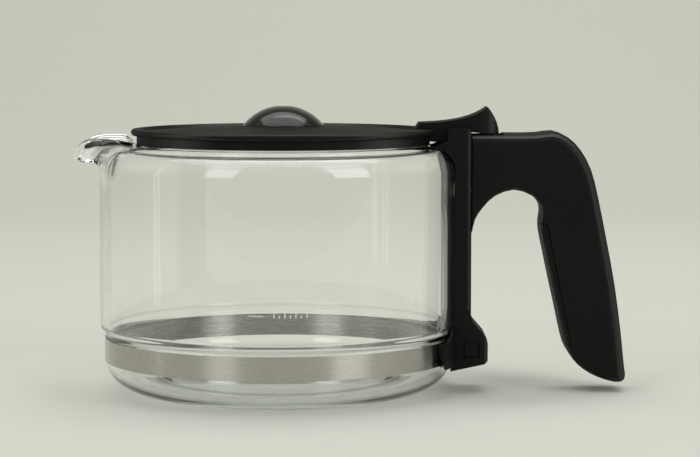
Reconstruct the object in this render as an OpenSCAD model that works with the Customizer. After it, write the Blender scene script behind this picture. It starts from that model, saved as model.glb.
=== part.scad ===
// Glass coffee server: round glass jug with a spout, clamped in a moulded
// handle by a steel band, with a hinged lid worked by a thumb lever.
// The origin is on the jug's axis at the table, +Z is up, +X points to the handle.

/* [Glass jug] */
// Outside diameter of the straight wall
glass_d = 140; // [120:1:160]
// Height of the rolled rim above the table
jug_h = 96.8; // [90:0.2:110]
// Thickness of the glass wall
glass_t = 3.4; // [2.6:0.1:3.8]
// Thickness of the glass floor in the middle
floor_t = 3.6; // [2.6:0.1:5]
// Outside diameter of the ring that the jug stands on
foot_d = 98; // [80:1:104]
// Width of the standing ring
foot_w = 3; // [2:0.5:6]
// How far the underside is pushed up inside the standing ring
push_up = 1.4; // [0.8:0.1:2]
// Outside radius of the shoulder's curve
shoulder_r = 7.5; // [6:0.1:9]
// Outside diameter of the rolled rim
rim_d = 120; // [112:1:124]
// Radius of the rolled rim's bead
bead_r = 1.6; // [1.3:0.1:1.9]
// How far the clamping seat lies inside the wall
seat_in = 2.15; // [1.5:0.05:3]
// Height over which the wall steps in to the seat
seat_step = 4.6; // [3:0.1:7]

/* [Spout] */
// Thickness of the spout's wall
spout_t = 2.2; // [1.6:0.1:2.6]
// Distance from the jug's axis to the spout's tip
spout_reach = 80.6; // [76:0.2:88]
// Width of the spout where it leaves the rim
spout_w = 42; // [30:1:48]
// Height of the spout's side lips above the rim
spout_rise = 2.9; // [1:0.1:3.2]
// Depth of the spout's keel below its side lips
spout_depth = 8.8; // [7:0.1:10]

/* [Steel band] */
// Height of the band's lower edge above the table
band_z = 13; // [11:0.5:16]
// Height of the band
band_h = 9; // [7:0.5:12]
// Thickness of the steel
band_t = 0.5; // [0.4:0.1:0.8]
// Gap between the two folded lugs
lug_gap = 4; // [3:0.5:5]
// How far the lugs stand out of the band
lug_l = 10.4; // [9:0.2:11.5]

/* [Handle bracket] */
// Width of the bracket along the glass
bracket_w = 28; // [25:0.5:32]
// Thickness of the spine outside the glass
spine_t = 5; // [4:0.1:7]
// Thickness of each hinge ear
ear_t = 4.5; // [4:0.1:5.5]
// Rounding of the bracket's outer edges
bracket_edge = 2.4; // [1:0.1:3]
// How far the clamp block reaches beyond the glass wall
block_reach = 11.9; // [11.6:0.1:15]
// Height of the clamp block's top above the band's upper edge
block_rise = 10.5; // [8:0.5:14]
// Half angle that each wing hugs the band
wing_angle = 25.5; // [20:0.5:34]
// Thickness of the wings
wing_t = 2.5; // [2:0.1:3]

/* [Grip] */
// Reach of the grip beyond the spine
grip_reach = 60.2; // [54:0.2:70]
// Height of the handle from its top to its lowest point
grip_drop = 97.4; // [92:0.2:98.6]
// Width of the arm and grip
grip_w = 24; // [23:0.5:28]
// Rounding of the outer edges
grip_edge = 4.4; // [2:0.1:6]
// Rounding of the finger side edges
finger_edge = 2; // [1:0.1:3]
// Thickness of the grip's cover on the finger side
cover_t = 2.2; // [1.6:0.1:3]
// Thickness of the grip's moulded walls
grip_wall = 2.4; // [2:0.1:3]

/* [Lid] */
// Diameter of the lid's flange
lid_d = 119.2; // [114:0.2:121]
// How far the lid's centre lies toward the handle
lid_shift = 2; // [0:0.1:2.5]
// Height of the skirt under the flange
skirt_h = 3.5; // [2.5:0.1:5]
// Thickness of the flange at its edge
flange_t = 2.6; // [2:0.1:3.2]
// How far the flange overhangs the skirt
overhang = 2.2; // [1:0.1:3]
// Depth of the dish's edge inside the crest
dish_depth = 1.3; // [0.8:0.1:1.8]
// How far the dish rises from its edge to the dome
dish_crown = 2.4; // [0:0.1:3]
// Thickness of the lid's walls
lid_t = 2; // [1.5:0.1:2.4]
// Diameter of the dome's foot
dome_d = 32; // [26:1:36]
// Height of the dome above the dish
dome_h = 7.9; // [6:0.1:12]
// Diameter of the coffee inlet
inlet_d = 7; // [6.6:0.2:8]

/* [Hinge and thumb lever] */
// Diameter of the hinge pin
pin_d = 3; // [2.5:0.1:3.4]
// Diameter of the lid's knuckle
knuckle_d = 8; // [7:0.1:9]
// How far the pin lies inside the line of the glass wall
pin_in = 0.5; // [0:0.1:1]
// Height of the pin above the rolled rim
pin_rise = 1.9; // [1.6:0.1:2.4]
// Reach of the thumb lever beyond the pin
lever_reach = 17; // [15:0.2:18]
// Height of the lever's tip above the pin
lever_h = 13; // [10:0.2:15]
// Length of the lever's tongue on the lid, inward of the pin
lever_tail = 16; // [12:0.2:18]
// Room between the thumb lever and each hinge ear
lever_play = 0.5; // [0.3:0.1:1]
// How far the lid opens, in degrees
open_angle = 68; // [50:1:70]

/* [Fasteners] */
// Diameter of the clamp screw
screw_d = 3; // [2.5:0.1:3.5]
// Width across the flats of the square nut
nut_w = 5.5; // [5:0.1:6]
// Width of the square plugs
plug_w = 6.2; // [6:0.1:7]
// Diameter of the two screws that hold the arm
arm_screw_d = 3; // [2.5:0.1:3.5]
// How far these screws reach into the arm
arm_screw_in = 7; // [5:0.5:8]

/* [Hidden] */

$fn = 96;
black_plastic = [0.05, 0.05, 0.05];
over = 1;             // overrun of every cut
gap = 0.3;            // room between pieces that only lie beside each other
run_fit = 0.05;       // radial clearance of the pin in the knuckle
hold_fit = 0.03;      // radial clearance of pieces held still in a hole

glass_r = glass_d / 2;
rim_r = rim_d / 2;
foot_r = foot_d / 2;
bead_c = rim_r - bead_r;
mouth_r = rim_r - 2 * bead_r;
seat_r = glass_r - seat_in;
seat_top = band_z + band_h + gap;
shoulder_z = jug_h - bead_r - bead_r / 8;
shoulder_c = glass_r - shoulder_r;
band_r = seat_r + hold_fit;
band_mid = band_z + band_h / 2;

spine_x = glass_r + gap + spine_t;
pin_x = glass_r - pin_in;
pin_z = jug_h + pin_rise;
ear_h = 4.9;                       // height of the ears above the pin
ear_front = 3.5;                   // how far the ears reach in front of the pin
ear_top = pin_z + ear_h;
ear_x = pin_x - ear_front;
ear_in = bracket_w / 2 - ear_t;    // half the room between the ears
barrel_r = 6.5;                    // room round the pin between the ears
pin_l = bracket_w - ear_t * 0.7;
lever_w = 2 * (ear_in - lever_play);
hook_angle = 14;                   // half angle over which the hook holds the rim
hook_x = bead_c * cos(hook_angle);

arm_x = spine_x + gap;
arm_rise = 2.7;                    // height of the arm above the pin
arm_top = pin_z + arm_rise;
slot_w = lever_w + 4 * gap;
tip_share = 0.72;                  // the lever's tip along its reach
swing_r = max(norm([lever_reach * tip_share, lever_h]), lever_reach);   // the lever's largest radius
slot_floor = pin_z - lever_reach * sin(open_angle);

skirt_z = jug_h + gap;             // lower edge of the lid
flange_z = skirt_z + skirt_h;
crest_z = flange_z + flange_t;
dish_z = crest_z - dish_depth;
dome_z = dish_z + dish_crown;      // height at which the dome sits
lid_r = lid_d / 2;
skirt_r = lid_r - overhang;
dome_brim = 2.4;                   // width that the dome rests on round its hole
hub_r = dome_d / 2 - dome_brim;
crest_w = 1.2;                     // width of the flat on the lid's crest
tongue_t = 2.5;                    // thickness of the lever's tongue
lever_z = crest_z + hold_fit;      // underside of the lever, seated on the lid's tongue
knuckle_r = knuckle_d / 2;

block_x = glass_r + block_reach;
block_h = block_rise + band_h;
screw_x = spine_x;
lug_end = seat_r + lug_l;
nut_t = 1.8;                       // thickness of the square nut
plug_t = 2.4;                      // depth of each plug
head_d = 5.5;                      // clamp screw's head
head_t = 2;                        // height of the screw heads
block_half = bracket_w / 2;
nut_y = block_half - plug_t - gap;  // outer face of the nut, out from the middle

// Points of a circular arc about a centre, from one angle to another
function arc(c, r, a0, a1, n) =
    [for (i = [0:n]) let (a = a0 + (a1 - a0) * i / n) c + r * [cos(a), sin(a)]];

// Points of a quarter ellipse from its lowest point up to its widest
function quarter(c, rx, ry, n) =
    [for (i = [0:n]) let (a = 90 * i / n) [c[0] + rx * sin(a), c[1] - ry * cos(a)]];

// Points of a smooth step from one point to another, upright at both ends
function step(p, q, n) =
    [for (i = [0:n]) let (t = i / n, s = (1 - cos(180 * t)) / 2) [p[0] + (q[0] - p[0]) * s, p[1] + (q[1] - p[1]) * t]];

// Points of a cubic curve with four control points
function bezier(p, n) =
    [for (i = [0:n]) let (t = i / n, u = 1 - t)
        u * u * u * p[0] + 3 * u * u * t * p[1] + 3 * u * t * t * p[2] + t * t * t * p[3]];

// Smooth value through a table's rows at row i, fraction t
function smooth(rows, i, t) =
    let (m = len(rows) - 1, a = rows[max(i - 1, 0)], b = rows[i], c = rows[min(i + 1, m)], d = rows[min(i + 2, m)])
    b + t * (c - a) / 2 + t * t * (2 * a - 5 * b + 4 * c - d) / 2 + t * t * t * (3 * b - a - 3 * c + d) / 2;

function smooth_rows(rows, n) =
    concat([for (i = [0:len(rows) - 2]) for (k = [0:n - 1]) smooth(rows, i, k / n)], [rows[len(rows) - 1]]);

// Solid between closed sections that all have the same number of points
module skin(sections) {
    n = len(sections[0]);
    m = len(sections);
    points = [for (s = sections) for (p = s) p];
    sides = [for (j = [0:m - 2]) for (i = [0:n - 1]) let (k = (i + 1) % n)
        for (f = [[j * n + i, j * n + k, (j + 1) * n + i], [j * n + k, (j + 1) * n + k, (j + 1) * n + i]]) f];
    ends = [[for (i = [n - 1:-1:0]) i], [for (i = [0:n - 1]) (m - 1) * n + i]];
    polyhedron(points = points, faces = concat(sides, ends));
}

// Side outline, drawn in X and Z, as a slab of a given width about the middle
module slab(width) {
    translate([0, width / 2, 0]) rotate([90, 0, 0]) linear_extrude(height = width) children();
}

// Bore along Y through the middle
module bore_y(d, length) {
    rotate([90, 0, 0]) cylinder(d = d, h = length, center = true);
}

// Glass jug

outer_wall = concat(
    [[0, push_up], [foot_r - 2 * foot_w, push_up], [foot_r - foot_w, 0]],
    quarter([foot_r, band_z], seat_r - foot_r, band_z, 12),
    step([seat_r, seat_top], [glass_r, seat_top + seat_step], 6),
    arc([shoulder_c, shoulder_z - shoulder_r], shoulder_r, 0, 90, 10));

inner_wall = concat(
    [[0, floor_t], [foot_r, floor_t]],
    quarter([foot_r, band_z], seat_r - glass_t - foot_r, band_z - floor_t, 10),
    step([seat_r - glass_t, seat_top], [glass_r - glass_t, seat_top + seat_step], 6),
    arc([shoulder_c, shoulder_z - shoulder_r], shoulder_r - glass_t, 0, 90, 8),
    [[mouth_r + bead_r / 2, shoulder_z - glass_t], [mouth_r, shoulder_z - glass_t / 2], [mouth_r, jug_h - bead_r]]);

// Spout stations, from the jug's mouth to the tip: shares of the reach beyond the mouth,
// of half the width, of the rise of the lips above the rim, and of the keel's depth
spout_shares = [
    [-0.12, 1.00, -0.90, 1.70],
    [0.00, 1.00, 0.05, 1.62],
    [0.12, 0.99, 0.72, 1.56],
    [0.26, 0.94, 0.98, 1.46],
    [0.42, 0.85, 1.00, 1.34],
    [0.56, 0.75, 0.98, 1.12],
    [0.70, 0.62, 0.80, 1.00],
    [0.82, 0.48, 0.42, 0.99],
    [0.92, 0.33, -0.28, 0.98],
    [1.00, 0.14, -1.55, 0.96]];
spout_root = mouth_r - spout_t;
lip_z = jug_h + spout_rise;

// One upright section of the spout, narrowed and raised by the wall t
function spout_section(row, t, lift) =
    let (x = -spout_root - row[0] * (spout_reach - spout_root) + t / 2,
         w = max(row[1] * spout_w / 2 - t, t / 4),
         top = jug_h + row[2] * spout_rise + lift,
         keel = lip_z - row[3] * spout_depth + t)
    [for (i = [0:16]) let (a = 180 * i / 16) [x, -w * cos(a), keel + (top - keel) * (1 - sin(a))]];

module spout_solid(t, lift) {
    skin([for (row = smooth_rows(spout_shares, 2)) spout_section(row, t, lift)]);
}

module glass_jug() {
    color([0.82, 0.88, 0.86, 0.4])
    difference() {
        union() {
            rotate_extrude() polygon(concat(outer_wall, [[bead_c, shoulder_z], [0, shoulder_z]]));
            rotate_extrude() translate([bead_c, jug_h - bead_r]) circle(r = bead_r, $fn = 32);
            rotate_extrude() translate([mouth_r, shoulder_z - glass_t]) square([bead_r, glass_t + bead_r / 2]);
            spout_solid(0, 0);
        }
        rotate_extrude() polygon(concat(inner_wall, [[mouth_r, jug_h + spout_depth], [0, jug_h + spout_depth]]));
        spout_solid(spout_t, spout_depth);
    }
}

// Steel band with its two lugs, and the clamp's fasteners

module steel_band() {
    lug_y = lug_gap / 2;
    color("silver")
    difference() {
        union() {
            difference() {
                translate([0, 0, band_z]) cylinder(r = band_r + band_t, h = band_h, $fn = 180);
                translate([0, 0, band_z - over]) cylinder(r = band_r, h = band_h + 2 * over, $fn = 180);
                translate([0, -lug_y, band_z - over]) cube([2 * glass_r, lug_gap, band_h + 2 * over]);
            }
            for (side = [-1, 1])
                translate([band_r, side * (lug_y + band_t / 2), band_mid])
                    cube([2 * (lug_end - band_r), band_t, band_h], center = true);
        }
        translate([0, 0, band_z - over]) cylinder(r = band_r, h = band_h + 2 * over, $fn = 180);
        translate([screw_x, 0, band_mid]) bore_y(screw_d + 2 * hold_fit, bracket_w);
    }
}

// Round head with a cross recess in its lower face
module screw_head() {
    difference() {
        cylinder(d = head_d, h = head_t);
        for (turn = [0, 90])
            rotate(turn) cube([head_d * 0.6, head_d / 7, head_t], center = true);
    }
}

// Screw along Y, its head on the far side
module band_screw() {
    color("gainsboro")
    translate([screw_x, 0, band_mid]) rotate([90, 0, 0]) translate([0, 0, -nut_y]) {
        translate([0, 0, head_t / 2]) cylinder(d = screw_d, h = 2 * nut_y - gap - head_t / 2);
        screw_head();
    }
}

module band_nut() {
    color("gainsboro")
    translate([screw_x, 0, band_mid]) rotate([90, 0, 0])
        difference() {
            translate([-nut_w / 2, -nut_w / 2, nut_y - nut_t]) cube([nut_w, nut_w, nut_t]);
            translate([0, 0, nut_y - nut_t - over]) cylinder(d = screw_d + 2 * hold_fit, h = nut_t + 2 * over);
        }
}

module screw_plugs() {
    rim = 0.5;    // chamfer of the plug's face
    color(black_plastic)
    for (turn = [0, 180])
        translate([screw_x, 0, band_mid]) rotate([90, 0, turn])
            translate([-plug_w / 2, -plug_w / 2, nut_y + gap]) {
                cube([plug_w, plug_w, plug_t - rim]);
                translate([rim, rim, 0]) cube([plug_w - 2 * rim, plug_w - 2 * rim, plug_t]);
            }
}

// Handle bracket

// Side outline of the ears, the hook over the shoulder and the spine
module spine_outline() {
    ear_edge = bracket_edge / 2;
    polygon(concat(
        [[hook_x, shoulder_z - shoulder_r], [hook_x, jug_h - bead_r], [hook_x + bead_r, jug_h - gap],
         [rim_r + bead_r / 2, jug_h - gap], [ear_x, pin_z]],
        arc([ear_x + ear_edge, ear_top - ear_edge], ear_edge, 180, 90, 4),
        arc([spine_x - bracket_edge, ear_top - bracket_edge], bracket_edge, 90, 0, 6),
        [[spine_x, band_mid], [shoulder_c, band_mid], [shoulder_c, shoulder_z - shoulder_r]]));
}

// Side outline of the clamp block, with the tips of its wings
module block_outline() {
    wing_x = (band_r + band_t) * cos(wing_angle);
    base = band_z - band_h * 0.46;
    top = band_z + block_h;
    polygon(concat(
        [[wing_x, band_z + band_h * 0.66], [wing_x, band_z + band_h * 0.94],
         [wing_x + wing_t * 1.4, band_z + band_h * 0.9], [wing_x + wing_t * 2.2, band_z + band_h * 1.15],
         [glass_r - gap, top]],
        bezier([[spine_x - gap, top + gap], [spine_x, top - block_rise * 0.45],
                [block_x - bracket_edge * 2, top - block_rise * 0.5],
                [block_x - bracket_edge / 4, top - block_rise]], 8),
        [[block_x, top - block_rise - bracket_edge], [block_x, band_z], [block_x - bracket_edge / 2, band_z - bracket_edge / 2],
         [wing_x + wing_t * 2, base], [wing_x + wing_t * 1.2, base + bracket_edge / 4],
         [wing_x + wing_t * 0.9, band_z + wing_t / 4], [wing_x + wing_t * 0.3, band_z + band_h * 0.4]]));
}

// Plan of the bracket, its outer edges rounded
module bracket_plan(reach, edge) {
    w = bracket_w / 2;
    polygon(concat(
        [[0, -w]], arc([reach - edge, edge - w], edge, -90, 0, 6),
        arc([reach - edge, w - edge], edge, 0, 90, 6), [[0, w]]));
}

module glass_room() {
    rotate_extrude($fn = 180)
        polygon(concat(
            [[0, -over], [seat_r + band_t + gap, -over], [seat_r + band_t + gap, seat_top + gap]],
            step([seat_r + band_t + gap, seat_top + gap], [glass_r + gap, seat_top + seat_step], 6),
            arc([shoulder_c, shoulder_z - shoulder_r], shoulder_r + gap, 0, 90, 10),
            [[rim_r + gap, shoulder_z + gap], [rim_r + gap, jug_h - bead_r / 2],
             [bead_c, jug_h + gap], [0, jug_h + gap]]));
}

module handle_bracket() {
    pocket_z = nut_y - max(nut_t, head_t) - hold_fit;   // floor of the screw's and the nut's pockets
    color(black_plastic)
    difference() {
        union() {
            intersection() {
                slab(bracket_w) spine_outline();
                linear_extrude(height = ear_top + over) bracket_plan(spine_x, bracket_edge);
            }
            intersection() {
                slab(2 * glass_r) block_outline();
                union() {
                    linear_extrude(height = band_z + block_h + over) bracket_plan(block_x, bracket_edge);
                    rotate([0, 0, -wing_angle])
                        rotate_extrude(angle = 2 * wing_angle, $fn = 180)
                            polygon([[seat_r, band_z - wing_t / 2], [band_r + band_t + gap + wing_t, band_z - wing_t / 2],
                                     [band_r + band_t + gap + wing_t, seat_top + seat_step], [seat_r, seat_top + seat_step]]);
                }
            }
        }
        glass_room();
        // room for the knuckle and the lever's root between the ears
        translate([pin_x, 0, pin_z]) bore_y(2 * barrel_r, 2 * ear_in);
        translate([pin_x, -ear_in, pin_z - barrel_r]) cube([2 * glass_r, 2 * ear_in, 3 * barrel_r]);
        translate([0, -ear_in, pin_z - barrel_r / 2]) cube([pin_x - barrel_r * 0.8, 2 * ear_in, 2 * barrel_r]);
        // pin hole, blind in the near ear
        translate([pin_x, bracket_w / 2 + over, pin_z]) rotate([90, 0, 0])
            cylinder(d = pin_d + 2 * hold_fit, h = pin_l + 2 * gap + over);
        // slot for the lugs, screw bore and the square pockets
        translate([glass_r - 2 * gap - seat_in, -lug_gap / 2 - band_t - gap, band_z - gap])
            cube([lug_l + 2 * gap + over / 2, lug_gap + 2 * band_t + 2 * gap, band_h + 2 * gap]);
        translate([screw_x, 0, band_mid]) bore_y(screw_d + 2 * run_fit, 2 * nut_y);
        for (turn = [0, 180])
            translate([screw_x, 0, band_mid]) rotate([90, 0, turn])
                translate([-plug_w / 2 - hold_fit, -plug_w / 2 - hold_fit, pocket_z])
                    cube([plug_w + 2 * hold_fit, plug_w + 2 * hold_fit, bracket_w]);
        arm_screw_bores(arm_screw_d + 2 * run_fit, head_d + 2 * run_fit);
    }
}

// Arm, grip and cover

// Handle stations from the spine, round the elbow, to the grip's end: shares of the reach
// and the drop for the finger side, then for the outer side, then of half the width
grip_shares = [
    [0.000, 0.395, 0.000, 0.000, 1.00],
    [0.020, 0.342, 0.030, 0.000, 1.00],
    [0.072, 0.293, 0.090, 0.000, 1.00],
    [0.148, 0.248, 0.175, 0.000, 1.00],
    [0.270, 0.223, 0.300, 0.001, 1.00],
    [0.384, 0.246, 0.425, -0.001, 1.00],
    [0.444, 0.282, 0.530, -0.008, 1.00],
    [0.457, 0.319, 0.621, 0.015, 1.00],
    [0.448, 0.357, 0.702, 0.065, 1.00],
    [0.452, 0.401, 0.770, 0.142, 1.00],
    [0.473, 0.463, 0.817, 0.250, 1.00],
    [0.514, 0.584, 0.875, 0.425, 1.00],
    [0.559, 0.707, 0.930, 0.604, 0.99],
    [0.598, 0.820, 0.972, 0.790, 0.97],
    [0.630, 0.877, 0.990, 0.892, 0.95],
    [0.687, 0.925, 1.001, 0.948, 0.91],
    [0.773, 0.965, 1.008, 0.972, 0.85],
    [0.868, 0.990, 0.999, 0.991, 0.78],
    [0.924, 0.999, 0.976, 0.999, 0.70]];

// Rounded section between the finger side a and the outer side b, of half width w
function grip_section(a, b, w) =
    let (l = norm(b - a), d = (b - a) / l,
         ri = min(finger_edge, l / 3, w / 2), ro = min(grip_edge, l / 3, w / 2),
         corners = concat(
             arc([ri, ri - w], ri, 180, 270, 3), arc([l - ro, ro - w], ro, -90, 0, 5),
             arc([l - ro, w - ro], ro, 0, 90, 5), arc([ri, w - ri], ri, 90, 180, 3)))
    [for (p = corners) [a[0] + d[0] * p[0], p[1], a[1] + d[1] * p[0]]];

module grip_solid() {
    rows = smooth_rows(grip_shares, 2);
    skin([for (r = rows)
        grip_section([arm_x + r[0] * grip_reach, arm_top - r[1] * grip_drop],
                     [arm_x + r[2] * grip_reach, arm_top - r[3] * grip_drop], r[4] * grip_w / 2)]);
}

// The cover's inner face runs from its top to its foot, a cover's thickness behind the finger side
cover_top = [arm_x + 0.448 * grip_reach, arm_top - 0.362 * grip_drop];
cover_foot = [arm_x + 0.607 * grip_reach, arm_top - 0.842 * grip_drop];

module cover_region(room) {
    polygon([cover_top + [-2 * cover_t, room], cover_top + [cover_t + room, room],
             cover_foot + [cover_t + room, -room], cover_foot + [-2 * cover_t, -room]]);
}

// Hollow behind the cover, kept a wall inside the outer side
module hollow_region(room) {
    polygon([cover_top + [cover_t - over + room, -grip_wall - room],
             [arm_x + 0.785 * grip_reach - grip_wall - room, cover_top[1] - grip_wall - room],
             [arm_x + 0.900 * grip_reach - grip_wall - room, (cover_top[1] + cover_foot[1]) / 2],
             [arm_x + 0.962 * grip_reach - grip_wall - room, cover_foot[1] + grip_wall + room],
             cover_foot + [cover_t - over + room, grip_wall + room]]);
}

// Both arm screws' axes, from the jug's axis outward
module at_arm_screws() {
    for (side = [-1, 1])
        translate([0, side * grip_w / 4, arm_top - 0.225 * grip_drop]) rotate([0, 90, 0]) children();
}

module arm_screw_bores(shank, head) {
    at_arm_screws() {
        translate([0, 0, glass_r - over]) cylinder(d = shank, h = arm_x - glass_r + arm_screw_in + over + gap);
        translate([0, 0, glass_r - head_d]) cylinder(d = head, h = head_d + gap + head_t);
    }
}

module handle_grip() {
    color(black_plastic)
    difference() {
        grip_solid();
        // slot that the thumb lever swings down into
        intersection() {
            translate([pin_x, 0, pin_z]) bore_y(2 * (swing_r + 2 * gap), slot_w);
            translate([pin_x, -slot_w, slot_floor]) cube([2 * swing_r, 2 * slot_w, 2 * swing_r]);
        }
        slab(2 * grip_w) cover_region(gap / 2);
        // hollow with two moulded ribs left standing
        difference() {
            slab(grip_w - 2 * grip_wall) hollow_region(0);
            for (share = [0.36, 0.68])
                translate([arm_x, -grip_w, cover_top[1] + share * (cover_foot[1] - cover_top[1])])
                    cube([cover_top[0] - arm_x + grip_reach, 2 * grip_w, grip_wall / 2]);
        }
        arm_screw_bores(arm_screw_d + 2 * hold_fit, arm_screw_d + 2 * hold_fit);
    }
}

module grip_cover() {
    tab = grip_w / 6;
    color(black_plastic)
    union() {
        intersection() {
            grip_solid();
            slab(2 * grip_w) cover_region(-gap / 2);
        }
        // two snap tabs behind the cover, in the hollow
        for (share = [0.14, 0.86])
            translate(let (p = cover_top + share * (cover_foot - cover_top)) [p[0] + cover_t / 2, -tab, p[1] - tab / 2])
                cube([cover_t + grip_wall, 2 * tab, tab]);
    }
}

module grip_screws() {
    color("gainsboro")
    at_arm_screws() {
        translate([0, 0, glass_r + gap + head_t / 2])
            cylinder(d = arm_screw_d, h = arm_x - glass_r + arm_screw_in - gap - head_t / 2);
        translate([0, 0, glass_r + gap]) screw_head();
    }
}

// Lid, hinge and thumb lever

module hinge_pin() {
    color("gainsboro")
    translate([pin_x, bracket_w / 2 - gap, pin_z]) rotate([90, 0, 0]) cylinder(d = pin_d, h = pin_l);
}

module lid_cap() {
    edge = flange_t / 2;
    tongue_w = 2 * ear_in - 2 * gap;
    color(black_plastic)
    difference() {
        union() {
            translate([lid_shift, 0, 0]) rotate_extrude($fn = 180)
                polygon(concat(
                    [[hub_r, dome_z - lid_t], [skirt_r - lid_t, dish_z - lid_t], [skirt_r - lid_t, skirt_z],
                     [skirt_r, skirt_z], [skirt_r, flange_z]],
                    arc([lid_r - edge, flange_z + edge], edge, -60, 60, 6),
                    [[lid_r - edge - crest_w, crest_z], [lid_r - edge - 2 * crest_w, crest_z],
                     [lid_r - edge - 3 * crest_w, dish_z], [dome_d / 2 + crest_w, dome_z], [hub_r, dome_z]]));
            // tongue out to the knuckle
            slab(tongue_w)
                polygon([[lid_r - overhang, flange_z - lid_t], [pin_x - knuckle_r / 2, pin_z - knuckle_r / 4],
                         [pin_x, pin_z], [pin_x + knuckle_r * 0.7, crest_z - gap], [pin_x, crest_z],
                         [lid_r - 3 * crest_w, crest_z]]);
            translate([pin_x, 0, pin_z]) bore_y(knuckle_d, tongue_w);
        }
        translate([pin_x, 0, pin_z]) bore_y(pin_d + 2 * run_fit, bracket_w);
    }
}

module lid_baffle() {
    plate_r = skirt_r - lid_t - gap;
    plate_z = skirt_z + gap;
    plate_t = lid_t * 0.75;
    dish_r = lid_r - flange_t / 2 - 3 * crest_w;
    ring_z = dome_z - lid_t - dish_crown * (hub_r + 2 * lid_t - dome_d / 2) / (dish_r - dome_d / 2) - gap / 3;
    slots = 10;
    color(black_plastic)
    translate([lid_shift, 0, 0])
    difference() {
        union() {
            translate([0, 0, plate_z]) cylinder(r = plate_r, h = plate_t);
            // ring that carries the plate against the dish
            translate([0, 0, plate_z]) cylinder(r = hub_r + 2 * lid_t, h = ring_z - plate_z);
        }
        translate([0, 0, plate_z - over]) cylinder(r = hub_r + lid_t, h = dome_z);
        for (i = [0:slots - 1])
            rotate(360 * i / slots + 180 / slots)
                translate([plate_r * 0.6, -lid_t, plate_z - over]) cube([plate_r * 0.28, 2 * lid_t, plate_t + 2 * over]);
    }
}

// Shallow domed shell, open at the top for the coffee, with a collar in the dish's hole
module drip_cap() {
    wall = lid_t * 0.75;
    top_r = inlet_d / 2 + wall;
    foot = dome_d / 2;
    ball_r = (foot * foot + dome_h * dome_h) / (2 * dome_h);
    ball_z = dome_z + dome_h - ball_r;
    low_a = acos(foot / ball_r);
    high_a = acos(top_r / ball_r);
    collar = hub_r - hold_fit * 5;
    inside_a = acos((collar - wall) / (ball_r - wall));
    color([0.2, 0.2, 0.19, 0.7])
    translate([lid_shift, 0, 0]) rotate_extrude()
        polygon(concat(
            [[collar, dome_z], [foot, dome_z]],
            arc([0, ball_z], ball_r, low_a, high_a, 12),
            [[inlet_d / 2 + wall / 3, ball_z + ball_r * sin(high_a)], [inlet_d / 2, ball_z + ball_r * sin(high_a) - wall / 3],
             [inlet_d / 2, ball_z + (ball_r - wall) * sin(high_a) - wall / 3]],
            arc([0, ball_z], ball_r - wall, high_a, inside_a, 10),
            [[collar - wall, skirt_z + lid_t], [collar, skirt_z + lid_t]]));
}

// Side outline of the lever: flat tongue on the lid, scooped rise to the thumb end
module lever_outline() {
    tail_x = pin_x - lever_tail;
    tip = [pin_x + lever_reach * tip_share, pin_z + lever_h];
    end = [pin_x + lever_reach, pin_z + lever_h * 0.13];
    polygon(concat(
        [[tail_x, lever_z], [tail_x + tongue_t * 0.6, lever_z + tongue_t * 0.92]],
        bezier([[tail_x + tongue_t * 2.4, lever_z + tongue_t], [pin_x, lever_z + tongue_t * 1.2],
                [pin_x + lever_reach * 0.42, lever_z + tongue_t * 1.84], tip], 8),
        bezier([tip, tip + [lever_reach * 0.1, -lever_h * 0.14], end + [0, lever_h * 0.36], end], 5),
        [[pin_x + lever_reach * 0.88, pin_z + lever_h * 0.13], [pin_x + lever_reach * 0.85, pin_z + lever_h * 0.25],
         [pin_x + lever_reach * 0.3, pin_z + lever_h * 0.25 + gap / 2], [pin_x + lever_reach * 0.24, lever_z]]));
}

module thumb_lever() {
    w = lever_w / 2;
    nose = w * 0.9;
    color(black_plastic)
    intersection() {
        slab(lever_w) lever_outline();
        linear_extrude(height = pin_z + 2 * lever_h)
            polygon(concat(
                arc([pin_x - lever_tail + bracket_edge, bracket_edge - w], bracket_edge, 180, 270, 4),
                arc([pin_x + lever_reach - nose, nose - w], nose, -90, 0, 10),
                arc([pin_x + lever_reach - nose, w - nose], nose, 0, 90, 10),
                arc([pin_x - lever_tail + bracket_edge, w - bracket_edge], bracket_edge, 90, 180, 4)));
    }
}

glass_jug();
steel_band();
band_screw();
band_nut();
screw_plugs();
handle_bracket();
handle_grip();
grip_cover();
grip_screws();
hinge_pin();
lid_cap();
lid_baffle();
drip_cap();
thumb_lever();
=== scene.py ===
"""Looks of a glass coffee server: glass jug, steel band, moulded black handle and hinged lid."""
import math

import bpy
from bpy.props import FloatProperty, FloatVectorProperty, IntProperty, PointerProperty
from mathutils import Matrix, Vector


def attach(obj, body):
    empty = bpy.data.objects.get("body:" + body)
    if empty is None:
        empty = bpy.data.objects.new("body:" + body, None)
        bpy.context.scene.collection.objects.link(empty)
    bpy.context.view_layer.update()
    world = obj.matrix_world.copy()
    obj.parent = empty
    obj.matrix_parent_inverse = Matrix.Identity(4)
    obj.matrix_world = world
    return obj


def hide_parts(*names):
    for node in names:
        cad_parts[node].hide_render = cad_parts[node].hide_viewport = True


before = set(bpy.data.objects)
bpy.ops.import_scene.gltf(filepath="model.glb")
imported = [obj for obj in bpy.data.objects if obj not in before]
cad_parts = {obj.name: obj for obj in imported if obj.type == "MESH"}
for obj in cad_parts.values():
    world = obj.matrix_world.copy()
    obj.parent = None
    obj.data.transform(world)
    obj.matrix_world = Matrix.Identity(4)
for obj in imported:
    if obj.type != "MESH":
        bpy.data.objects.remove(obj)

bl_info = {
    "name": "Glass coffee server",
    "version": (1, 0, 0),
    "blender": (4, 5, 0),
    "location": "3D View > Sidebar > Coffee server",
    "description": "Builds the looks of a glass coffee server round its packed CAD frame",
    "category": "Object",
}

MM = 0.001
UP = Vector((0, 0, 1))

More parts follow.
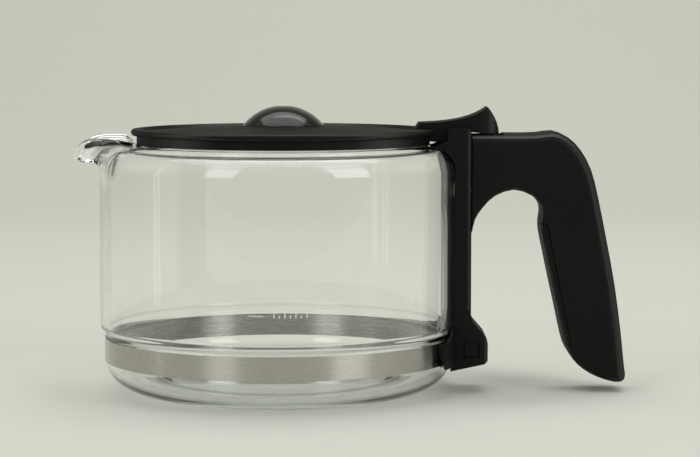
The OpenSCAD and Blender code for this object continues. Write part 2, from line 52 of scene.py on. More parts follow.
SHOULDER_START = 17 * MM       # how far below the rim the shoulder's run of points starts
FOOT_RING = 6.4 * MM           # width of the standing ring together with the slope inside it
FOOT_SLOPE = 3.4 * MM          # width of that slope
FOOT_FLAT = 1.6 * MM           # width of the ring's flat
SPOUT_COLUMNS = 0.3            # share of the columns that the spout takes
SHOULDER_ROWS, CAP_ROWS = 34, 13
LIP_DROP, LIP_RISE = 0.6 * MM, 3.5 * MM
# Stations of the spout's lip: reach, half width and height above the rim, each a share of the spout's own
LIP_STATIONS = (
    (0.000, 1.000, 0.00), (0.075, 1.010, 0.35), (0.19, 0.975, 0.80), (0.31, 0.925, 0.97),
    (0.45, 0.835, 1.00), (0.58, 0.735, 0.98), (0.70, 0.61, 0.86), (0.80, 0.49, 0.55),
    (0.885, 0.35, 0.02), (0.95, 0.20, -0.75), (0.985, 0.09, -1.25), (1.00, 0.0, -1.45))

# Printed scale, in millimetres: left edge, width, lowest and highest height
SCALE_DASH = (-9.2, 5.6, 37.2, 37.6)
SCALE_TICKS = [(0.2 + 2 * i, 0.42, 36.6, 37.7 if i % 2 else 38.6) for i in range(7)]

# The lever's underside, in millimetres: where its slope starts, its length, how far it is lowered, its two heights
LEVER_START, LEVER_SLOPE, LEVER_RUN = 76.0, 3.6, 2.24
LEVER_BELOW, LEVER_HIGH, LEVER_LOW = 102.3, 102.04, 101.42

# Specular level of the satin plastic by slant, from face on (0) to edge on (1)
SHINE_STOPS = ((0.0, 0.10), (0.12, 0.13), (0.28, 0.62), (0.55, 0.12), (1.0, 0.035))

# Lamps: name, place, target, width and height in metres, power in watts
LAMPS = (
    ("top_softbox", (0.0, 0.1, 1.5), (0, 0.1, 0), (1.8, 1.6), 13.2),
    ("right_softbox", (0.98, -0.86, 0.60), (0, 0, 0.05), (0.62, 1.15), 5.8),
    ("left_softbox", (-0.78, -1.1, 0.60), (0, 0, 0.05), (0.5, 1.1), 3.7),
    ("left_strip", (-0.381, -0.097, 0.16), (-0.044, -0.054, 0.16), (0.014, 0.32), 0.022),
    ("right_strip", (0.369, -0.149, 0.17), (0.042, -0.056, 0.17), (0.012, 0.30), 0.012),
    ("back_wash", (0.25, 0.45, 1.5), (0.1, 1.75, 0.5), (1.1, 0.6), 4.4))
ROOM_STRENGTH = 0.30           # the room's light on dull surfaces
PAPER_STRENGTH = 0.72          # the pale room as the camera, metal and glass see it
SWEEP_HALF_WIDTH, SWEEP_BEND = 3.2, 0.9


# Sizes and colours

class JugSizes(bpy.types.PropertyGroup):
    wall_radius: FloatProperty(
        name="Wall radius", description="Outside radius of the straight wall",
        default=70 * MM, unit="LENGTH")
    wall_thickness: FloatProperty(
        name="Wall thickness", description="Thickness of the blown wall",
        default=3.4 * MM, unit="LENGTH")
    seat_radius: FloatProperty(
        name="Seat radius", description="Outside radius under the steel band",
        default=67.85 * MM, unit="LENGTH")
    seat_low: FloatProperty(
        name="Seat start", description="Height at which the rounded base meets the seat",
        default=13 * MM, unit="LENGTH")
    seat_high: FloatProperty(
        name="Seat end", description="Height at which the wall steps out again",
        default=22.3 * MM, unit="LENGTH")
    seat_step: FloatProperty(
        name="Step height", description="Height of the step above the seat",
        default=4.6 * MM, unit="LENGTH")
    foot_radius: FloatProperty(
        name="Foot radius", description="Outside radius of the standing ring",
        default=49 * MM, unit="LENGTH")
    push_up: FloatProperty(
        name="Push-up", description="How far the underside is raised inside the ring",
        default=1.4 * MM, unit="LENGTH")
    floor_thickness: FloatProperty(
        name="Floor", description="Height of the inside floor",
        default=3.6 * MM, unit="LENGTH")
    shoulder_radius: FloatProperty(
        name="Shoulder radius", description="Outside radius of the shoulder's curve",
        default=7.5 * MM, unit="LENGTH")
    rim_radius: FloatProperty(
        name="Rim radius", description="Outside radius of the rolled rim",
        default=60 * MM, unit="LENGTH")
    rim_height: FloatProperty(
        name="Rim height", description="Height of the rolled rim above the table",
        default=96.8 * MM, unit="LENGTH")
    bead: FloatProperty(
        name="Bead", description="Radius of the rim's bead",
        default=1.6 * MM, unit="LENGTH")
    spout_reach: FloatProperty(
        name="Spout reach", description="Distance from the axis to the spout's tip",
        default=80.6 * MM, unit="LENGTH")
    shoulder_thickness: FloatProperty(
        name="Shoulder wall", description="Thickness of the glass at the top of the shoulder",
        default=1.8 * MM, unit="LENGTH")
    spout_thickness: FloatProperty(
        name="Spout wall", description="Thickness of the drawn-out spout's wall",
        default=1.0 * MM, unit="LENGTH")
    spout_angle: FloatProperty(
        name="Spout angle", description="Half angle of the rim that the spout takes",
        default=math.radians(20.8), subtype="ANGLE")
    columns: IntProperty(
        name="Columns", description="Steps round the jug",
        default=288, min=96, max=720)


class Finishes(bpy.types.PropertyGroup):
    glass_tint: FloatVectorProperty(
        name="Glass tint", description="Colour of light through the glass",
        default=(0.985, 0.995, 0.99), size=3, subtype="COLOR", min=0, max=1)
    plastic: FloatVectorProperty(
        name="Satin plastic", description="Colour of the moulded black parts",
        default=(0.005, 0.005, 0.0048), size=3, subtype="COLOR", min=0, max=1)
    smoke: FloatVectorProperty(
        name="Smoke tint", description="Colour that the dome's clear plastic lets through",
        default=(0.42, 0.42, 0.38), size=3, subtype="COLOR", min=0, max=1)
    smoke_depth: FloatProperty(
        name="Smoke depth", description="How strongly a metre of the tinted plastic absorbs light",
        default=2700.0, min=0, max=5000)
    steel: FloatVectorProperty(
        name="Band steel", description="Colour of the rolled steel strip",
        default=(0.445, 0.435, 0.405), size=3, subtype="COLOR", min=0, max=1)
    dome_wall: FloatProperty(
        name="Dome wall", description="Thickness of the tinted dome",
        default=1.4 * MM, unit="LENGTH")
    zinc: FloatVectorProperty(
        name="Zinc plate", description="Colour of the screws, nut and pin",
        default=(0.62, 0.62, 0.60), size=3, subtype="COLOR", min=0, max=1)
    print_white: FloatVectorProperty(
        name="Scale print", description="Colour of the printed level scale",
        default=(0.8, 0.8, 0.77), size=3, subtype="COLOR", min=0, max=1)


class StageSetup(bpy.types.PropertyGroup):
    floor_colour: FloatVectorProperty(
        name="Floor colour", description="Colour of the floor and backdrop",
        default=(0.71, 0.715, 0.64), size=3, subtype="COLOR", min=0, max=1)
    lens: FloatProperty(
        name="Focal length", description="Focal length on a 36 mm sensor, in millimetres",
        default=118.69, min=20, max=300)
    distance: FloatProperty(
        name="Camera distance", description="Distance from the jug's axis",
        default=905.4 * MM, unit="LENGTH")
    height: FloatProperty(
        name="Camera height", description="Height above the table",
        default=139.25 * MM, unit="LENGTH")
    sideways: FloatProperty(
        name="Camera offset", description="Shift toward the handle",
        default=28.12 * MM, unit="LENGTH")
    pitch: FloatProperty(
        name="Pitch", description="Angle below the horizon",
        default=math.radians(4.768), subtype="ANGLE")
    roll: FloatProperty(
        name="Roll", description="Turn about the view axis",
        default=0.0, subtype="ANGLE")


def sizes():
    return bpy.context.scene.carafe_jug


def finishes():
    return bpy.context.scene.carafe_finish


def stage_setup():
    return bpy.context.scene.carafe_stage


# Mesh and node helpers

def mesh_object(name, points, faces):
    """Smooth-shaded object from points and faces."""
    mesh = bpy.data.meshes.new(name)
    mesh.from_pydata([tuple(p) for p in points], [], faces)
    mesh.validate()
    mesh.update()
    mesh.polygons.foreach_set("use_smooth", [True] * len(mesh.polygons))
    obj = bpy.data.objects.new(name, mesh)
    bpy.context.scene.collection.objects.link(obj)
    return obj


def lerp(a, b, t):
    return a + (b - a) * t


def smoothstep(t):
    t = max(0.0, min(1.0, t))
    return t * t * (3 - 2 * t)


def resample(points, count):
    """Points at equal steps along a polyline."""
    lengths = [0.0]
    for a, b in zip(points, points[1:]):
        lengths.append(lengths[-1] + (b - a).length)
    out, k = [], 0
    for i in range(count):
        want = lengths[-1] * i / (count - 1)
        while k < len(points) - 2 and lengths[k + 1] < want:
            k += 1
        span = max(lengths[k + 1] - lengths[k], 1e-12)
        out.append(points[k].lerp(points[k + 1], max(0.0, min(1.0, (want - lengths[k]) / span))))
    return out


def bezier(p, count):
    """Cubic curve with the four control points p."""
    out = []
    for i in range(count):
        t = i / (count - 1)
        u = 1 - t
        out.append(p[0] * u ** 3 + p[1] * 3 * u * u * t + p[2] * 3 * u * t * t + p[3] * t ** 3)
    return out


def new_material(name):
    material = bpy.data.materials.new(name)
    material.use_nodes = True
    tree = material.node_tree
    tree.nodes.clear()
    return material, tree


def noise_texture(tree, place, scale, detail, **inputs):
    """Noise in the object's own space."""
    return add(tree, "ShaderNodeTexNoise", {
        "Vector": place.outputs["Object"], "Scale": scale, "Detail": detail, **inputs})


def spread(tree, source, low, high):
    """The middle of a noise spread over a range."""
    return add(tree, "ShaderNodeMapRange", {
        "Value": source.outputs["Fac"], "From Min": 0.3, "From Max": 0.7, "To Min": low, "To Max": high})


def two_tones(tree, source, colour, dark, light):
    """A colour that drifts between a darker and a lighter tone of itself."""
    return add(tree, "ShaderNodeMix", {
        "Factor": source.outputs["Fac"], "A": rgba([c * dark for c in colour]),
        "B": rgba([min(c * light, 1) for c in colour])}, data_type="RGBA")


def add(tree, kind, inputs=None, **settings):
    """A node with its settings, and its inputs set or linked."""
    node = tree.nodes.new(kind)
    for key, value in settings.items():
        setattr(node, key, value)
    for key, value in (inputs or {}).items():
        if isinstance(value, bpy.types.NodeSocket):
            tree.links.new(value, node.inputs[key])
        else:
            node.inputs[key].default_value = value
    return node


def rgba(colour):
    return (colour[0], colour[1], colour[2], 1.0)


def dress(node, material):
    """Gives a CAD node its material."""
    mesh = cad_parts[node].data
    mesh.materials.clear()
    mesh.materials.append(material)


# Materials

def glass_material():
    """Clear glass with slow waves; its shadow is let through almost whole."""
    material, tree = new_material("clear_glass")
    place = add(tree, "ShaderNodeTexCoord")
    flow = noise_texture(tree, place, 22.0, 1.0)
    wave = add(tree, "ShaderNodeBump", {"Strength": 0.06, "Distance": 0.0006, "Height": flow.outputs["Fac"]})
    glass = add(tree, "ShaderNodeBsdfPrincipled", {
        "Base Color": rgba(finishes().glass_tint), "Roughness": 0.0, "IOR": 1.47, "Transmission Weight": 1.0,
        "Normal": wave.outputs["Normal"]})
    clear = add(tree, "ShaderNodeBsdfTransparent", {"Color": (0.93, 0.945, 0.935, 1.0)})
    path = add(tree, "ShaderNodeLightPath")
    mix = add(tree, "ShaderNodeMixShader", {
        0: path.outputs["Is Shadow Ray"], 1: glass.outputs[0], 2: clear.outputs[0]})
    add(tree, "ShaderNodeOutputMaterial", {"Surface": mix.outputs[0]})
    return material


def plastic_material():
    """Moulded black plastic: fine spark-eroded grain, slightly uneven gloss and softened edges."""
    material, tree = new_material("satin_black")
    place = add(tree, "ShaderNodeTexCoord")
    fine = noise_texture(tree, place, 3800.0, 3.0, Roughness=0.6)
    cloud = noise_texture(tree, place, 40.0, 3.0)
    gloss = spread(tree, cloud, 0.52, 0.59)
    edges = add(tree, "ShaderNodeBevel", {"Radius": 0.3 * MM}, samples=6)
    bump = add(tree, "ShaderNodeBump", {
        "Strength": 0.25, "Distance": 0.00005, "Height": fine.outputs["Fac"], "Normal": edges.outputs["Normal"]})
    shade = two_tones(tree, cloud, finishes().plastic, 0.85, 1.2)
    slant = add(tree, "ShaderNodeLayerWeight", {"Blend": 0.5})
    shine = add(tree, "ShaderNodeValToRGB", {"Fac": slant.outputs["Facing"]})
    stops = shine.color_ramp.elements
    for position, level in SHINE_STOPS:
        stop = stops[0] if position == 0.0 else stops[-1] if position == 1.0 else stops.new(position)
        stop.color = (level, level, level, 1.0)
    body = add(tree, "ShaderNodeBsdfPrincipled", {
        "Base Color": shade.outputs["Result"], "Roughness": gloss.outputs["Result"], "IOR": 1.5,
        "Specular IOR Level": shine.outputs["Color"], "Normal": bump.outputs["Normal"]})
    add(tree, "ShaderNodeOutputMaterial", {"Surface": body.outputs[0]})
    return material


def steel_material(name, colour, rough, along, drawn=0.0):
    """Rolled or plated steel: fine drawn lines along one direction, and faint clouding."""
    material, tree = new_material(name)
    place = add(tree, "ShaderNodeTexCoord")
    stretch = add(tree, "ShaderNodeMapping", {"Vector": place.outputs["Object"], "Scale": along})
    lines = add(tree, "ShaderNodeTexNoise", {
        "Vector": stretch.outputs["Vector"], "Scale": 1.0, "Detail": 5.0, "Roughness": 0.65})
    cloud = noise_texture(tree, place, 60.0, 2.0)
    gloss = spread(tree, lines, rough * 0.96, rough * 1.05)
    shade = two_tones(tree, cloud, colour, 0.93, 1.05)
    edges = add(tree, "ShaderNodeBevel", {"Radius": 0.15 * MM}, samples=4)
    bump = add(tree, "ShaderNodeBump", {
        "Strength": 0.012, "Distance": 0.00002, "Height": lines.outputs["Fac"], "Normal": edges.outputs["Normal"]})
    body = add(tree, "ShaderNodeBsdfPrincipled", {
        "Base Color": shade.outputs["Result"], "Metallic": 1.0, "Roughness": gloss.outputs["Result"],
        "Normal": bump.outputs["Normal"], "Anisotropic": drawn, "Anisotropic Rotation": 0.25})
    if drawn:
        round_axis = add(tree, "ShaderNodeTangent", direction_type="RADIAL", axis="Z")
        tree.links.new(round_axis.outputs["Tangent"], body.inputs["Tangent"])
    add(tree, "ShaderNodeOutputMaterial", {"Surface": body.outputs[0]})
    return material


def smoke_material():
    """Clear plastic with a dark tint right through, so its edges look darkest."""
    material, tree = new_material("smoke_tint")
    place = add(tree, "ShaderNodeTexCoord")
    flow = noise_texture(tree, place, 120.0, 2.0)
    wave = add(tree, "ShaderNodeBump", {"Strength": 0.05, "Distance": 0.0002, "Height": flow.outputs["Fac"]})
    gloss = spread(tree, flow, 0.09, 0.13)
    body = add(tree, "ShaderNodeBsdfPrincipled", {
        "Base Color": (0.80, 0.80, 0.77, 1.0), "Roughness": gloss.outputs["Result"], "IOR": 1.49,
        "Specular IOR Level": 0.12, "Transmission Weight": 1.0, "Normal": wave.outputs["Normal"]})
    tint = add(tree, "ShaderNodeVolumeAbsorption", {
        "Color": rgba(finishes().smoke), "Density": finishes().smoke_depth})
    add(tree, "ShaderNodeOutputMaterial", {"Surface": body.outputs[0], "Volume": tint.outputs[0]})
    return material


def print_material():
    """White ink with a fine grain."""
    material, tree = new_material("scale_print")
    place = add(tree, "ShaderNodeTexCoord")
    grain = noise_texture(tree, place, 2500.0, 2.0)
    shade = two_tones(tree, grain, finishes().print_white, 0.86, 1.0)
    body = add(tree, "ShaderNodeBsdfPrincipled", {"Base Color": shade.outputs["Result"], "Roughness": 0.45})
    add(tree, "ShaderNodeOutputMaterial", {"Surface": body.outputs[0]})
    return material


def floor_material():
    """Dull studio paper."""
    material, tree = new_material("studio_paper")
    place = add(tree, "ShaderNodeTexCoord")
    fibre = noise_texture(tree, place, 350.0, 4.0)
    shade = two_tones(tree, fibre, stage_setup().floor_colour, 0.985, 1.015)
    paper = add(tree, "ShaderNodeBsdfDiffuse", {"Color": shade.outputs["Result"]})
    add(tree, "ShaderNodeOutputMaterial", {"Surface": paper.outputs[0]})
    return material


# Glass jug

def step_radius(s, share):
    """Outside radius on the soft step between the seat and the wall."""
    return lerp(s.seat_radius, s.wall_radius, (1 - math.cos(math.pi * share)) / 2)


def jug_lines(s):
    """The jug's profile as (radius, height): outside below and above the cut, inside above and below, bead's centre."""
    t, shoulder_z = s.wall_thickness, s.rim_height - s.bead * 1.125
    bend, thin = s.shoulder_radius, s.shoulder_thickness
    cut = s.rim_height - SHOULDER_START
    slope_start = s.foot_radius - FOOT_RING
    low = [(r, s.push_up) for r in (0.0, s.foot_radius * 0.3, s.foot_radius * 0.6, slope_start)]
    for i in range(1, 9):
        k = i / 8
        low.append((slope_start + FOOT_SLOPE * k, s.push_up * (1 - smoothstep(k))))
    low += [(s.foot_radius - FOOT_FLAT, 0.0), (s.foot_radius, 0.0)]
    for i in range(1, 29):
        a = math.pi / 2 * i / 28
        low.append((s.foot_radius + (s.seat_radius - s.foot_radius) * math.sin(a), s.seat_low * (1 - math.cos(a))))
    low += [(s.seat_radius, lerp(s.seat_low, s.seat_high, k / 4)) for k in range(1, 5)]
    for i in range(1, 15):
        k = i / 14
        low.append((step_radius(s, k), s.seat_high + s.seat_step * k))
    low += [(s.wall_radius, lerp(s.seat_high + s.seat_step, cut, k / 10)) for k in range(1, 11)]

    high = [(s.wall_radius, cut)]
    for i in range(0, 19):
        a = math.pi / 2 * i / 18
        high.append((s.wall_radius - bend + bend * math.cos(a), shoulder_z - bend + bend * math.sin(a)))
    centre = (s.rim_radius - s.bead, s.rim_height - s.bead)
    high.append((centre[0] + s.bead * 1.25, shoulder_z))

    inner_high = [(s.wall_radius - t, cut)]
    for i in range(0, 15):
        a = math.pi / 2 * i / 14
        inner_high.append((
            s.wall_radius - bend + (bend - t) * math.cos(a), shoulder_z - bend + (bend - thin) * math.sin(a)))
    inner_high += [
        (centre[0] - s.bead * 0.4, shoulder_z - thin), (centre[0] - s.bead * 0.9, shoulder_z - thin * 0.62)]

    inner_low = [(s.wall_radius - t, lerp(cut, s.seat_high + s.seat_step, k / 10)) for k in range(1, 11)]
    for i in range(13, -1, -1):
        k = i / 14
        inner_low.append((step_radius(s, k) - t, s.seat_high + s.seat_step * k))
    inner_low += [(s.seat_radius - t, lerp(s.seat_high, s.seat_low, k / 4)) for k in range(1, 5)]
    for i in range(27, -1, -1):
        a = math.pi / 2 * i / 28
        inner_low.append((
            s.foot_radius + (s.seat_radius - t - s.foot_radius) * math.sin(a),
            s.floor_thickness + (s.seat_low - s.floor_thickness) * (1 - math.cos(a))))
    inner_low += [(s.foot_radius * k, s.floor_thickness) for k in (0.75, 0.5, 0.25, 0.0)]
    return low, high, inner_high, inner_low, centre


def lip_point(s, a):
    """Point of the spout's outer lip; a runs from -1 to 1 across the spout."""
    root = Vector((math.cos(s.spout_angle), math.sin(s.spout_angle), 0)) * s.rim_radius
    line = []
    for reach, half, rise in LIP_STATIONS:
        line.append(Vector((
            -lerp(root.x, s.spout_reach, reach), half * root.y, s.rim_height - LIP_DROP + rise * LIP_RISE)))
    fine = resample(smooth_line(line, 6), 81)
    k = (1 - abs(a)) * 80
    i = min(int(k), 79)
    p = fine[i].lerp(fine[i + 1], k - i)
    return Vector((p.x, p.y if a >= 0 else -p.y, p.z))


def smooth_line(points, steps):
    """Catmull-Rom curve through the points."""
    out = []
    for i in range(len(points) - 1):
        a, b, c, d = points[max(i - 1, 0)], points[i], points[i + 1], points[min(i + 2, len(points) - 1)]
        for k in range(steps):
            t = k / steps
            out.append(
                b + (c - a) * (0.5 * t) + (a * 2 - b * 5 + c * 4 - d) * (0.5 * t * t)
                + (b * 3 - a - c * 3 + d) * (0.5 * t ** 3))
    return out + [points[-1]]


def upright(points, out):
    """Points of (radius, height) set up in the plane that faces out from the axis."""
    return [out * r + UP * z for r, z in points]


def lead_to_lip(s, a, out, middle, outer, inner):
    """Bends the shoulder's two lines to the spout's lip, and gives the lip's middle, side and radius."""
    share = smoothstep((1 - abs(a)) / 0.16)       # 0 where the spout leaves the rim
    lip = lip_point(s, a)
    along = lip_point(s, min(a + 0.02, 1)) - lip_point(s, max(a - 0.02, -1))
    lip_side = Vector((along.y, -along.x, 0)).normalized()
    if lip_side.dot(out) < 0:
        lip_side = -lip_side
    side = out.lerp(lip_side, share).normalized()
    radius = lerp(s.bead, s.spout_thickness / 2, share)
    middle = middle.lerp(lip - lip_side * (s.spout_thickness / 2), share)
    kept = max(2, int(lerp(1.0, 0.30, smoothstep((1 - abs(a)) / 0.9)) * 59))
    inward = lerp(1.0, 8.6, share * smoothstep(1 - abs(a) ** 1.5)) * MM
    drop = lerp(0.6, 2.2, share) * MM * smoothstep(abs(a) * 1.6 + 0.25)
    bent = []
    for line, sign, reach in ((outer, 1, inward), (inner, -1, inward * 0.9)):
        fine = resample(line, 60)
        end = middle + side * (radius * sign)
        lead = (fine[kept] - fine[kept - 1]).normalized() * lerp(0.6, 2.6, share) * MM
        curve = bezier([fine[kept], fine[kept] + lead, end - side * reach - UP * drop, end], 24)
        bent.append(fine[:kept] + curve)
    return bent[0], bent[1], middle, side, radius


def even_wall(s, a, outer, inner, before, after):
    """The spout's inner line, held at an even distance from the outer face."""
    share = smoothstep((1 - abs(a)) / 0.2)
    even = list(inner)
    for k in range(1, SHOULDER_ROWS - 1):
        face = (after[k] - before[k]).cross(outer[k + 1] - outer[k - 1]).normalized()
        rise = k / (SHOULDER_ROWS - 1)
        thick = lerp(s.wall_thickness, s.spout_thickness, smoothstep(rise * 1.5))
        even[k] = inner[k].lerp(outer[k] - face * thick, share * (1 - smoothstep((rise - 0.8) / 0.2)))
    return even


def column_angles(s):
    """Each column's angle round the jug, with its place across the spout from -1 to 1, or None beside it."""
    on_spout = int(s.columns * SPOUT_COLUMNS)
    angles = []
    for i in range(on_spout):
        across = 2 * i / on_spout - 1
        angles.append((math.pi + s.spout_angle * across, across))
    rest = s.columns - on_spout
    for i in range(rest):
        angles.append((math.pi + s.spout_angle + (2 * math.pi - 2 * s.spout_angle) * i / rest, None))
    return angles


def jug_columns(s):
    """One closed run of points for each step round the jug."""
    low, high, inner_high, inner_low, centre = jug_lines(s)
    inner_start = [(s.wall_radius - s.wall_thickness, s.rim_height - SHOULDER_START)]
    angles, shells = column_angles(s), []
    for angle, a in angles:
        out = Vector((math.cos(angle), math.sin(angle), 0))
        outer, inner = upright(high, out), upright(inner_high, out)
        middle, side, radius = out * centre[0] + UP * centre[1], out, s.bead
        if a is not None and abs(a) < 1:
            outer, inner, middle, side, radius = lead_to_lip(s, a, out, middle, outer, inner)
        cap = []
        for i in range(CAP_ROWS):
            b = math.pi * i / (CAP_ROWS - 1)
            cap.append(middle + side * (radius * math.cos(b)) + UP * (radius * math.sin(b)))
        shells.append((resample(outer, SHOULDER_ROWS), resample(inner, SHOULDER_ROWS), cap, out))

    columns = []
    for i, (angle, a) in enumerate(angles):
        outer, inner, cap, out = shells[i]
        if a is not None and abs(a) < 1:
            inner = even_wall(s, a, outer, inner, shells[i - 1][0], shells[i + 1][0])
        columns.append(
            upright(low[1:], out) + outer[1:] + cap + list(reversed(inner))[:-1]
            + upright(inner_start, out) + upright(inner_low[:-1], out))
    return columns, low[0][1], inner_low[-1][1]


def glass_jug_mesh(s):
    """The jug's columns joined into one closed skin."""
    columns, z_under, z_floor = jug_columns(s)
    n, m = len(columns), len(columns[0])
    points = [p for column in columns for p in column]
    faces = []
    for i in range(n):
        j = (i + 1) % n
        for k in range(m - 1):
            faces.append((i * m + k, j * m + k, j * m + k + 1, i * m + k + 1))
    points += [Vector((0, 0, z_under)), Vector((0, 0, z_floor))]
    for i in range(n):
        j = (i + 1) % n
        faces.append((len(points) - 2, j * m, i * m))
        faces.append((len(points) - 1, i * m + m - 1, j * m + m - 1))
    return mesh_object("glass_jug_blown", points, faces)


class CARAFE_OT_glass(bpy.types.Operator):
    """Blown glass jug with its rolled rim and pulled spout"""
    bl_idname = "carafe.glass"
    bl_label = "Glass jug"

    def execute(self, context):
        jug = glass_jug_mesh(sizes())
        jug.data.materials.append(glass_material())
        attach(jug, "jug")
        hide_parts("glass_jug")
        return {"FINISHED"}


class CARAFE_OT_scale(bpy.types.Operator):
    """Printed level ticks on the front of the glass"""
    bl_idname = "carafe.scale"
    bl_label = "Level scale"

    def execute(self, context):
        radius = sizes().wall_radius + 0.03 * MM
        points, faces = [], []
        for x0, width, z0, z1 in [SCALE_DASH] + SCALE_TICKS:
            steps = max(2, int(width / 0.4))
            base = len(points)
            for i in range(steps + 1):
                a = math.asin((x0 + width * i / steps) * MM / radius)
                for z in (z0, z1):
                    points.append((radius * math.sin(a), -radius * math.cos(a), z * MM))
            for i in range(steps):
                faces.append((base + 2 * i, base + 2 * i + 2, base + 2 * i + 3, base + 2 * i + 1))
        scale = mesh_object("level_scale", points, faces)
        scale.data.materials.append(print_material())
        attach(scale, "jug")
        return {"FINISHED"}


class CARAFE_OT_metal(bpy.types.Operator):
    """Steel band, screws, nut and pin"""
    bl_idname = "carafe.metal"
    bl_label = "Metal parts"

    def execute(self, context):
        band = steel_material("band_steel", finishes().steel, 0.27, (60.0, 60.0, 2600.0), 0.8)
        zinc = steel_material("zinc_screws", finishes().zinc, 0.35, (900.0, 900.0, 900.0))
        dress("steel_band", band)
        for node in ("band_screw", "band_nut", "grip_screws", "hinge_pin"):
            dress(node, zinc)
        return {"FINISHED"}


def revolved(name, profile, centre_x, steps=144):
    """A closed profile of (radius, height) turned round an upright axis."""
    points, faces, count = [], [], len(profile)
    for i in range(steps):
        a = 2 * math.pi * i / steps
        points += [(centre_x + r * math.cos(a), r * math.sin(a), z) for r, z in profile]
    for i in range(steps):
        j = (i + 1) % steps
        for k in range(count):
            m = (k + 1) % count
            faces.append((i * count + k, j * count + k, j * count + m, i * count + m))
    return mesh_object(name, points, faces)


def dome_mesh(wall):
    """Tinted dome with an even wall, open at the top, and the collar that holds it in the lid."""
    foot, rise, base, hole = 16.0 * MM, 7.9 * MM, 104.3 * MM, 3.5 * MM
    collar_in, collar_out, collar_low = 12.15 * MM, 13.5 * MM, 99.7 * MM
    centre_x = 2.0 * MM
    ball = (foot * foot + rise * rise) / (2 * rise)
    middle = base + rise - ball
    low, high = math.acos(foot / ball), math.acos((hole + 0.5 * MM) / ball)
    profile = [(foot - 0.15 * MM, base + 0.02 * MM)]
    for i in range(25):
        a = lerp(low + 0.008, high, i / 24)
        profile.append((ball * math.cos(a), middle + ball * math.sin(a)))
    top = middle + ball * math.sin(high)
    profile += [
        (hole + 0.15 * MM, top - 0.1 * MM), (hole, top - 0.5 * MM), (hole, top - wall),
        (hole + 0.4 * MM, top - wall - 0.12 * MM)]
    inner = ball - wall
    last = math.asin((base + 0.9 * MM - middle) / inner)
    first = math.acos((hole + 1.2 * MM) / inner)
    for i in range(17):
        a = lerp(first, last, i / 16)
        profile.append((inner * math.cos(a), middle + inner * math.sin(a)))
    profile += [
        (12.5 * MM, base + 0.5 * MM), (collar_in, base), (collar_in, collar_low), (collar_out, collar_low),
        (collar_out, base)]
    return revolved("tinted_dome", profile, centre_x)


def lever_mesh():
    """The lever with its underside brought down to the top of the arm, clear of the spine as it opens."""
    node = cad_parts["thumb_lever"]
    mesh = node.data.copy()
    mesh.transform(node.matrix_world)
    for vertex in mesh.vertices:
        along = (vertex.co.x / MM - LEVER_START) / LEVER_SLOPE
        if 0 < along < LEVER_RUN and vertex.co.z < LEVER_BELOW * MM:
            vertex.co.z = min(vertex.co.z, lerp(LEVER_HIGH, LEVER_LOW, min(along, 1) ** 1.5) * MM)
    lever = bpy.data.objects.new("thumb_lever_moulded", mesh)
    bpy.context.scene.collection.objects.link(lever)
    return lever


class CARAFE_OT_plastic(bpy.types.Operator):
    """Moulded handle, bracket, lid and lever"""
    bl_idname = "carafe.plastic"
    bl_label = "Plastic parts"

    def execute(self, context):
        satin = plastic_material()
        for node in ("handle_bracket", "handle_grip", "grip_cover", "screw_plugs", "lid_cap", "lid_baffle"):
            dress(node, satin)
        lever = lever_mesh()
        lever.data.materials.clear()
        lever.data.materials.append(satin)
        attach(lever, "lid")
        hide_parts("thumb_lever")
        dome = dome_mesh(finishes().dome_wall)
        dome.data.materials.append(smoke_material())
        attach(dome, "lid")
        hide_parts("drip_cap")
        return {"FINISHED"}


def paper_sweep():
    """Floor that bends up into the backdrop."""
    line = [(-0.62, 0.0), (0.5, 0.0), (SWEEP_BEND, 0.0)]
    for i in range(1, 17):
        a = math.pi / 2 * i / 16
        line.append((SWEEP_BEND + SWEEP_BEND * math.sin(a), SWEEP_BEND - SWEEP_BEND * math.cos(a)))
    line += [(2 * SWEEP_BEND, 2.0), (2 * SWEEP_BEND, 3.4)]
    points, faces = [], []
    for y, z in line:
        points += [(-SWEEP_HALF_WIDTH, y, z), (SWEEP_HALF_WIDTH, y, z)]
    for i in range(len(line) - 1):
        faces.append((2 * i, 2 * i + 1, 2 * i + 3, 2 * i + 2))
    return mesh_object("paper_sweep", points, faces)


def lamp(name, place, target, size, power):
    """Soft lamp of that size and power, aimed at the target."""
    data = bpy.data.lights.new(name, "AREA")
    data.shape, data.size, data.size_y, data.energy = "RECTANGLE", size[0], size[1], power
    obj = bpy.data.objects.new(name, data)
    bpy.context.scene.collection.objects.link(obj)
    obj.location = place
    obj.rotation_euler = (Vector(target) - Vector(place)).to_track_quat("-Z", "Y").to_euler()


def studio_world(paper_colour):
    """A dim room on dull surfaces, and pale paper where the camera, metal and glass look past the sweep."""
    world = bpy.data.worlds.new("studio")
    world.use_nodes = True
    tree = world.node_tree
    tree.nodes.clear()
    room = add(tree, "ShaderNodeBackground", {"Color": (1.0, 1.0, 0.97, 1.0), "Strength": ROOM_STRENGTH})
    paper = add(tree, "ShaderNodeBackground", {"Color": rgba(paper_colour), "Strength": PAPER_STRENGTH})
    ray = add(tree, "ShaderNodeLightPath")
    seen = add(tree, "ShaderNodeMath", {
        0: ray.outputs["Is Camera Ray"], 1: ray.outputs["Is Transmission Ray"]}, operation="MAXIMUM")
    shown = add(tree, "ShaderNodeMath", {0: seen.outputs[0], 1: ray.outputs["Is Glossy Ray"]}, operation="MAXIMUM")
    sky = add(tree, "ShaderNodeMixShader", {0: shown.outputs[0], 1: room.outputs[0], 2: paper.outputs[0]})
    add(tree, "ShaderNodeOutputWorld", {"Surface": sky.outputs[0]})
    return world


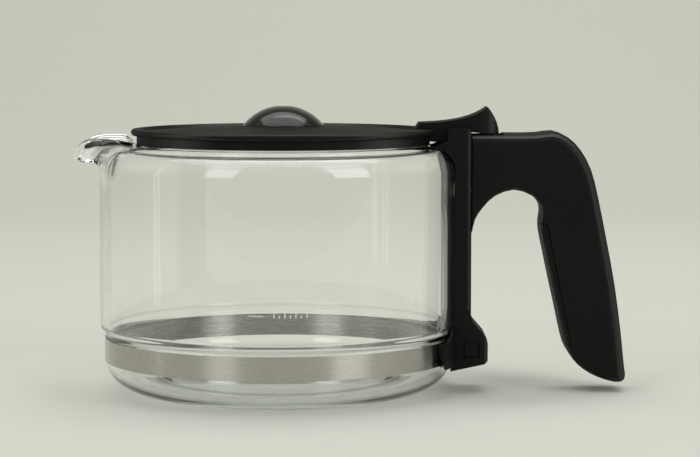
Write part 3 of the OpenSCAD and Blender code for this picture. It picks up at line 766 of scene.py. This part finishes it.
class CARAFE_OT_stage(bpy.types.Operator):
    """Paper sweep, soft lamps and camera"""
    bl_idname = "carafe.stage"
    bl_label = "Stage"

    def execute(self, context):
        scene = context.scene
        setup = stage_setup()
        sweep = paper_sweep()
        sweep.data.materials.append(floor_material())
        for row in LAMPS:
            lamp(*row)
        scene.world = studio_world(setup.floor_colour)

        data = bpy.data.cameras.new("camera")
        data.sensor_width, data.lens = 36.0, setup.lens
        data.clip_start, data.clip_end = 0.01, 20.0
        camera = bpy.data.objects.new("camera", data)
        scene.collection.objects.link(camera)
        camera.location = (setup.sideways, -setup.distance, setup.height)
        camera.rotation_euler = (math.pi / 2 - setup.pitch, setup.roll, 0)
        scene.camera = camera
        scene.view_settings.view_transform = "Standard"
        return {"FINISHED"}


OPERATORS = (CARAFE_OT_glass, CARAFE_OT_scale, CARAFE_OT_metal, CARAFE_OT_plastic, CARAFE_OT_stage)


class CARAFE_PT_panel(bpy.types.Panel):
    """Sidebar panel that lists the pieces"""
    bl_idname = "CARAFE_PT_panel"
    bl_label = "Coffee server"
    bl_space_type = "VIEW_3D"
    bl_region_type = "UI"
    bl_category = "Coffee server"

    def draw(self, context):
        for operator in OPERATORS:
            self.layout.operator(operator.bl_idname)
        for group in (sizes(), finishes(), stage_setup()):
            column = self.layout.column(align=True)
            for name in group.__annotations__:
                column.prop(group, name)


CLASSES = (JugSizes, Finishes, StageSetup) + OPERATORS + (CARAFE_PT_panel,)


def register():
    for cls in CLASSES:
        bpy.utils.register_class(cls)
    bpy.types.Scene.carafe_jug = PointerProperty(type=JugSizes)
    bpy.types.Scene.carafe_finish = PointerProperty(type=Finishes)
    bpy.types.Scene.carafe_stage = PointerProperty(type=StageSetup)


def unregister():
    del bpy.types.Scene.carafe_jug
    del bpy.types.Scene.carafe_finish
    del bpy.types.Scene.carafe_stage
    for cls in reversed(CLASSES):
        bpy.utils.unregister_class(cls)


def main():
    register()
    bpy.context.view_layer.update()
    bpy.ops.carafe.glass()
    bpy.ops.carafe.scale()
    bpy.ops.carafe.metal()
    bpy.ops.carafe.plastic()
    bpy.ops.carafe.stage()


if __name__ == "__main__":
    main()
